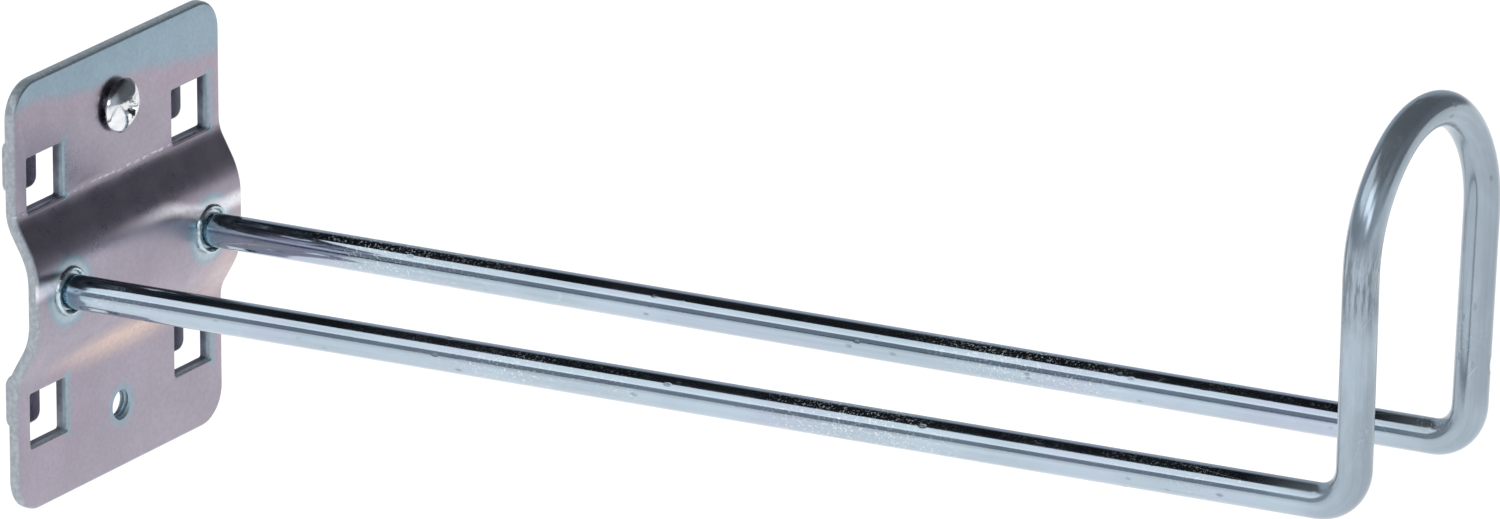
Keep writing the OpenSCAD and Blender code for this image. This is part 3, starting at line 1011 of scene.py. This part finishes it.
class HOOK_OT_screw(bpy.types.Operator):
    """Turn the clamp screw with its domed head, cross recess and thread"""
    bl_idname = "hook.screw"
    bl_label = "Clamp screw"

    def execute(self, context):
        settings = context.scene.hook_screw
        head_radius = (SCREW_HIGH.x - SCREW_LOW.x) / 2
        shank = SCREW_HIGH.y - SCREW_LOW.y - settings.head
        screw = self.head(settings, head_radius)
        cut_with(screw, self.recess(settings))
        for angle in (45, 135, 225, 315):
            cut_with(screw, self.tick(settings, math.radians(angle), head_radius))
        cut_with(screw, self.shank(settings, shank), "UNION")
        turn = Matrix.Rotation(math.radians(14), 4, "Z")
        screw.data.transform(turn)
        stood_along(screw, Vector((SCREW_AXIS.x, SCREW_LOW.y + settings.head, SCREW_AXIS.z)), -Y_AXIS)
        faces_outward(screw)
        smoothed(screw, 30)
        settled(screw, "screw", "clamp_screw", screw_finish(settings))
        return {"FINISHED"}

    def head(self, settings, radius):
        """The domed head along Z, its underside at 0, with rounded rim edges."""
        rise = settings.head - settings.rim
        dome = (radius ** 2 + rise ** 2) / (2 * rise)
        soft = 0.00018
        rings = [(radius * 0.3, 0), (radius - soft, 0), (radius - soft * 0.3, soft * 0.3), (radius, soft),
                 (radius, settings.rim - soft)]
        steps = 14
        widest = math.asin(radius / dome)
        for i in range(1, steps):
            angle = widest * (1 - i / steps)
            rings.append((dome * math.sin(angle), settings.head - dome * (1 - math.cos(angle))))
        head = stacked_rings("clamp_screw_bright", rings, 72)
        ends_closed(head)
        return head

    def recess(self, settings):
        """A tapered cross, to be cut into the head's top."""
        top, deep = settings.head + 0.0004, settings.head - settings.recess_depth
        wings = []
        for angle in (0, math.pi / 2):
            wing = added(bpy.ops.mesh.primitive_cube_add, "wing", size=1,
                         location=(0, 0, (top + deep) / 2))
            wing.scale = (settings.recess, settings.wing, top - deep)
            fixed(wing)
            pick(wing, "FACE", lambda f: f.normal.z < -0.9)
            bpy.ops.transform.resize(value=(0.42, 0.72, 1), center_override=(0, 0, deep))
            done_editing()
            finished(wing, "BEVEL", width=0.00012, segments=2, limit_method="ANGLE",
                     angle_limit=math.radians(50))
            wing.data.transform(Matrix.Rotation(angle, 4, "Z"))
            wings.append(wing)
        cut_with(wings[0], wings[1], "UNION")
        core = added(bpy.ops.mesh.primitive_cone_add, "core", vertices=24,
                     radius1=settings.wing * 0.35, radius2=settings.wing * 1.15, depth=top - deep,
                     location=(0, 0, (top + deep) / 2))
        fixed(core)
        cut_with(wings[0], core, "UNION")
        return wings[0]

    def tick(self, settings, angle, radius):
        """One thin line pressed in the head between two wings."""
        mark = added(bpy.ops.mesh.primitive_cube_add, "tick", size=1,
                     location=(radius * 0.50, 0, settings.head - 0.00012))
        mark.scale = (radius * 0.42, 0.00014, 0.0005)
        mark.rotation_euler = (0, math.radians(13), 0)
        fixed(mark)
        mark.data.transform(Matrix.Rotation(angle, 4, "Z"))
        return mark

    def shank(self, settings, length):
        """The threaded shank below the head, its tip chamfered."""
        major = settings.thread / 2
        minor = major - settings.pitch * 0.6
        rod = threaded_rod("shank", minor, major, settings.pitch, -length, 0.0)
        lead = 0.0005
        rings = [(major - lead, -length), (major + 0.00001, -length + lead), (major + 0.00001, 0.0003)]
        envelope = stacked_rings("envelope", rings, 64)
        ends_closed(envelope)
        cut_with(rod, envelope, "INTERSECT")
        return rod


# Stage -------------------------------------------------------------------------------------

# Name, place, width, height, and the setting that holds the brightness
SOFTBOXES = (
    ("softbox_left", (-1.35, 1.04, 1.33), 1.7, 1.15, "softbox"),
    ("softbox_front", (-2.62, -1.90, 1.02), 1.2, 0.80, "front_softbox"),
    ("softbox_side", (-2.35, -0.45, 1.50), 1.5, 0.95, "front_softbox"),
)
SOFTBOX_AIM = Vector((0, -0.1, 0))
CAMERA_PLACE = (-1.900844, -1.369442, 0.836184)
CAMERA_VIEW = Vector((0.786327, 0.517916, -0.336827))
CAMERA_LENS = 389.82
FLOOR_SIZE = 60


class HOOK_OT_stage(bpy.types.Operator):
    """Set the plain floor, the soft studio light and the camera"""
    bl_idname = "hook.stage"
    bl_label = "Stage"

    def execute(self, context):
        settings = context.scene.hook_stage
        self.floor(settings)
        self.world(context.scene, settings)
        for name, place, width, height, brightness in SOFTBOXES:
            self.softbox(name, place, width, height, getattr(settings, brightness))
        self.camera(context.scene)
        context.scene.view_settings.view_transform = "Standard"
        return {"FINISHED"}

    def floor(self, settings):
        floor = added(bpy.ops.mesh.primitive_plane_add, "floor", size=FLOOR_SIZE,
                      location=(0, 0, PLATE_LOW.z - settings.floor_drop))
        material = bpy.data.materials.new("floor_pale")
        material.use_nodes = True
        shader = material.node_tree.nodes["Principled BSDF"]
        shader.inputs["Base Color"].default_value = (*settings.floor, 1)
        shader.inputs["Roughness"].default_value = 1.0
        shader.inputs["Specular IOR Level"].default_value = 0.0
        floor.data.materials.append(material)

    def world(self, scene, settings):
        """Even white light on the floor; polished metal sees a dark ceiling and paler walls."""
        world = bpy.data.worlds.new("studio")
        world.use_nodes = True
        sky = Pattern(world.node_tree)
        sky.place = sky.node("ShaderNodeTexCoord").outputs["Generated"]
        up, right, back = sky.axis("Z"), sky.axis("X"), sky.axis("Y")
        at_right = sky.ramp(right, -0.2, 0.2)
        at_back = sky.ramp(back, -0.15, 0.25)
        right_wall = sky.times(sky.ramp(up, 0.64, 0.42, 0, settings.right_wall),
                              sky.times(at_right, at_back))
        left_wall = sky.times(sky.ramp(up, 0.55, 0.38, 0, settings.left_wall),
                             sky.ramp(right, 0.2, -0.2))
        at_front = sky.ramp(back, 0.25, -0.15)
        front_wall = sky.times(sky.ramp(up, 0.75, 0.25, 0, settings.front_wall), at_front)
        walls = sky.plus(sky.plus(right_wall, left_wall), front_wall)
        seen = sky.plus(walls, settings.ceiling)
        path = sky.node("ShaderNodeLightPath")
        strength = sky.node("ShaderNodeMix", data_type="FLOAT")
        sky.links.new(path.outputs["Is Glossy Ray"], strength.inputs[0])
        strength.inputs[2].default_value = settings.dome
        sky.links.new(seen, strength.inputs[3])
        background = sky.nodes["Background"]
        sky.links.new(sky.mix(path.outputs["Is Glossy Ray"], (1, 1, 1), settings.wall_tint),
                      background.inputs["Color"])
        sky.links.new(strength.outputs[0], background.inputs["Strength"])
        scene.world = world

    def softbox(self, name, place, width, height, radiance):
        nothing_selected()
        bpy.ops.object.light_add(type="AREA", location=place)
        light = bpy.context.object
        light.name = name
        light.data.shape = "RECTANGLE"
        light.data.size = width
        light.data.size_y = height
        light.data.energy = radiance * math.pi * width * height
        aim = SOFTBOX_AIM - Vector(place)
        light.rotation_euler = aim.to_track_quat("-Z", "Y").to_euler()

    def camera(self, scene):
        nothing_selected()
        bpy.ops.object.camera_add(location=CAMERA_PLACE)
        camera = bpy.context.object
        camera.name = "camera"
        camera.rotation_euler = CAMERA_VIEW.to_track_quat("-Z", "Y").to_euler()
        camera.data.lens = CAMERA_LENS
        camera.data.sensor_width = 36
        camera.data.clip_start = 0.05
        camera.data.clip_end = 100
        scene.camera = camera


# Panel and registration --------------------------------------------------------------------

OPERATORS = (HOOK_OT_stage, HOOK_OT_plate, HOOK_OT_wire, HOOK_OT_welds, HOOK_OT_screw)
SETTINGS = {
    "hook_plate": HookPlateSettings,
    "hook_wire": HookWireSettings,
    "hook_weld": HookWeldSettings,
    "hook_screw": HookScrewSettings,
    "hook_stage": HookStageSettings,
}


class HOOK_PT_panel(bpy.types.Panel):
    bl_idname = "HOOK_PT_panel"
    bl_label = "Tool panel hook"
    bl_space_type = "VIEW_3D"
    bl_region_type = "UI"
    bl_category = "Hook"

    def draw(self, context):
        for operator in OPERATORS:
            self.layout.operator(operator.bl_idname)
        for name, group in SETTINGS.items():
            box = self.layout.box()
            for key in group.__annotations__:
                box.prop(getattr(context.scene, name), key)


def register():
    for name, group in SETTINGS.items():
        bpy.utils.register_class(group)
        setattr(bpy.types.Scene, name, bpy.props.PointerProperty(type=group))
    for operator in OPERATORS:
        bpy.utils.register_class(operator)
    bpy.utils.register_class(HOOK_PT_panel)


def unregister():
    bpy.utils.unregister_class(HOOK_PT_panel)
    for operator in reversed(OPERATORS):
        bpy.utils.unregister_class(operator)
    for name, group in SETTINGS.items():
        delattr(bpy.types.Scene, name)
        bpy.utils.unregister_class(group)


def main():
    register()
    bpy.ops.hook.stage()
    bpy.ops.hook.plate()
    bpy.ops.hook.wire()
    bpy.ops.hook.welds()
    bpy.ops.hook.screw()


if __name__ == "__main__":
    main()
